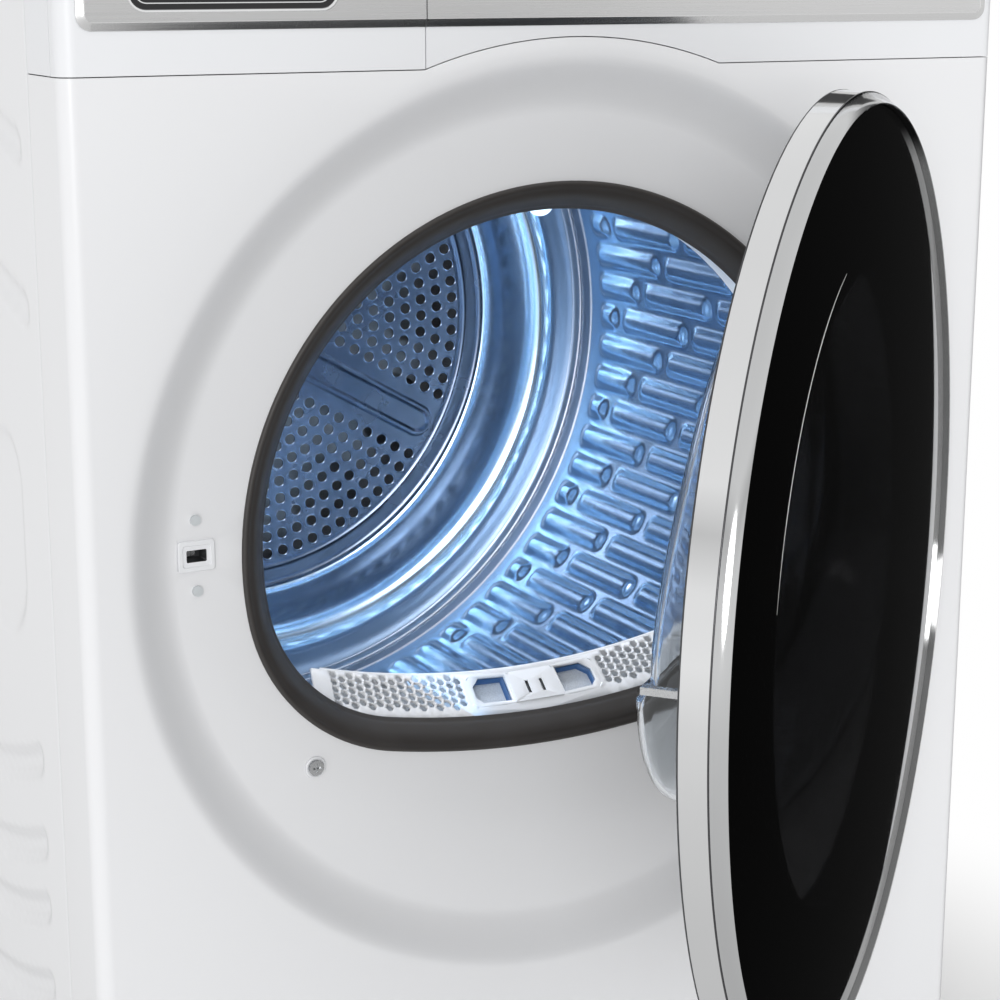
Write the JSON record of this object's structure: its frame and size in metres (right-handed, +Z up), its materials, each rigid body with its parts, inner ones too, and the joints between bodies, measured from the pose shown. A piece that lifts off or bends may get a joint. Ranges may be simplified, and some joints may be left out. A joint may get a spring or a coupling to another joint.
{
  "type": "clothes dryer",
  "caption": "Free-standing front-loading heat pump clothes dryer with a round glazed door standing open, a ribbed steel drum and a lint filter in the door opening.",
  "frame": {"origin": "middle of the footprint of the whole dryer with its door standing open, at floor level", "axes": "+X to the right seen from the front, +Y from the front to the back, +Z up"},
  "size_m": [0.595, 0.9486, 0.845],
  "materials": {
    "white_enamel": "gloss",
    "galvanised": "matte",
    "white_plastic": "satin",
    "brushed_trim": "brushed",
    "chrome_ring": "polished",
    "black_gloss": "gloss",
    "black_glass": "gloss",
    "clear_bowl": "gloss",
    "drum_steel": "satin",
    "plain_steel": "satin",
    "gasket_rubber": "matte",
    "black_rubber": "matte",
    "grey_plastic": "matte",
    "dark_plastic": "matte",
    "felt": "matte",
    "board_green": "satin",
    "copper": "satin",
    "lamp_lens": "gloss",
    "black_enamel": "satin",
    "milky_plastic": "satin"
  },
  "bodies": {
    "cabinet": {"front_panel": "white_enamel", "left_side_panel": "white_enamel", "right_side_panel": "white_enamel", "rear_panel": "galvanised", "rear_duct_cover": "galvanised", "worktop": "white_plastic", "fascia": "white_plastic", "control_trim": "brushed_trim", "display_window": "black_gloss", "base_tray": "grey_plastic", "front_bulkhead": "white_plastic", "door_gasket": "gasket_rubber", "drum_front_seal": "felt", "latch_receptacle": "white_plastic", "front_plugs": "white_plastic", "front_screws": "plain_steel", "drum_lamp": "lamp_lens", "heat_exchanger_cover": "grey_plastic", "evaporator": "galvanised", "condenser": "galvanised", "refrigerant_pipes": "copper", "compressor": "black_enamel", "motor_housing": "galvanised", "fan_housing": "grey_plastic", "rear_bearing": "galvanised", "roller_brackets": "galvanised", "condensate_pump": "white_plastic", "drain_hose": "dark_plastic", "control_board": "board_green", "tank_tray": "grey_plastic", "cable_gland": "black_rubber", "hinge_bracket": "galvanised", "hinge_pin": "plain_steel", "drive_belt": "black_rubber"},
    "door": {"door_ring": "chrome_ring", "door_glass": "black_glass", "door_frame": "dark_plastic", "door_bowl": "clear_bowl", "door_hinge_leaf": "galvanised", "door_latch_hook": "plain_steel"},
    "drum": {"drum_shell": "drum_steel", "drum_rear_wall": "drum_steel", "drum_shaft": "plain_steel"},
    "rotor": {"motor_rotor": "plain_steel", "fan_wheel": "grey_plastic"},
    "tensioner": {"tension_arm": "galvanised"},
    "idler": {"idler_wheel": "dark_plastic"},
    "roller_left": {"support_roller_left": "black_rubber"},
    "roller_right": {"support_roller_right": "black_rubber"},
    "tank_drawer": {"water_tank": "milky_plastic", "drawer_front": "white_plastic", "drawer_trim": "brushed_trim", "drawer_handle": "black_gloss"},
    "filter": {"lint_filter": "white_plastic"},
    "knob": {"program_knob": "brushed_trim"},
    "start": {"start_button": "brushed_trim"},
    "leg_front_left": {"foot_front_left": "black_rubber"},
    "leg_front_right": {"foot_front_right": "black_rubber"},
    "leg_rear_left": {"foot_rear_left": "black_rubber"},
    "leg_rear_right": {"foot_rear_right": "black_rubber"}
  },
  "joints": [
    {"name": "door_hinge", "type": "hinge", "parent": "cabinet", "child": "door", "pos_m": [0.2513, -0.1349, 0.431], "axis": [0, 0, 1], "range_deg": [-40.6, 89.4]},
    {"name": "drum_spin", "type": "hinge", "parent": "cabinet", "child": "drum", "pos_m": [0, 0.1741, 0.476], "axis": [0, 1, 0], "continuous": true},
    {"name": "motor_spin", "type": "hinge", "parent": "cabinet", "child": "rotor", "pos_m": [0.175, 0.1741, 0.105], "axis": [0, 1, 0], "continuous": true},
    {"name": "belt_tensioner", "type": "hinge", "parent": "cabinet", "child": "tensioner", "pos_m": [0.02, 0.2741, 0.095], "axis": [0, 1, 0], "range_deg": [0, 12], "stiffness_Nm_per_rad": 2, "springref_deg": -28.65},
    {"name": "idler_spin", "type": "hinge", "parent": "tensioner", "child": "idler", "pos_m": [0.08891, 0.2691, 0.10532], "axis": [0, 1, 0], "continuous": true},
    {"name": "left_roller_spin", "type": "hinge", "parent": "cabinet", "child": "roller_left", "pos_m": [-0.17132, 0.0201, 0.20183], "axis": [0, 1, 0], "continuous": true},
    {"name": "right_roller_spin", "type": "hinge", "parent": "cabinet", "child": "roller_right", "pos_m": [0.17132, 0.0201, 0.20183], "axis": [0, 1, 0], "continuous": true},
    {"name": "tank_slide", "type": "slide", "parent": "cabinet", "child": "tank_drawer", "axis": [0, -1, 0], "range_m": [0, 0.4]},
    {"name": "filter_slide", "type": "slide", "parent": "cabinet", "child": "filter", "axis": [0, 0, 1], "range_m": [0, 0.19]},
    {"name": "programme_turn", "type": "hinge", "parent": "cabinet", "child": "knob", "pos_m": [0.02, -0.1399, 0.7675], "axis": [0, 1, 0], "continuous": true},
    {"name": "start_press", "type": "slide", "parent": "cabinet", "child": "start", "axis": [0, 1, 0], "range_m": [0, 0.0018], "stiffness_N_per_m": 600, "springref_m": -0.001},
    {"name": "front_left_foot_thread", "type": "slide", "parent": "cabinet", "child": "leg_front_left", "axis": [0, 0, 1], "range_m": [-0.015, 0]},
    {"name": "front_right_foot_thread", "type": "slide", "parent": "cabinet", "child": "leg_front_right", "axis": [0, 0, 1], "range_m": [-0.015, 0]},
    {"name": "rear_left_foot_thread", "type": "slide", "parent": "cabinet", "child": "leg_rear_left", "axis": [0, 0, 1], "range_m": [-0.015, 0]},
    {"name": "rear_right_foot_thread", "type": "slide", "parent": "cabinet", "child": "leg_rear_right", "axis": [0, 0, 1], "range_m": [-0.015, 0]}
  ],
  "couplings": [
    {"joint": "motor_spin", "follows": "drum_spin", "ratio": 32},
    {"joint": "idler_spin", "follows": "drum_spin", "ratio": -14.4},
    {"joint": "left_roller_spin", "follows": "drum_spin", "ratio": -8.2286},
    {"joint": "right_roller_spin", "follows": "drum_spin", "ratio": -8.2286}
  ]
}
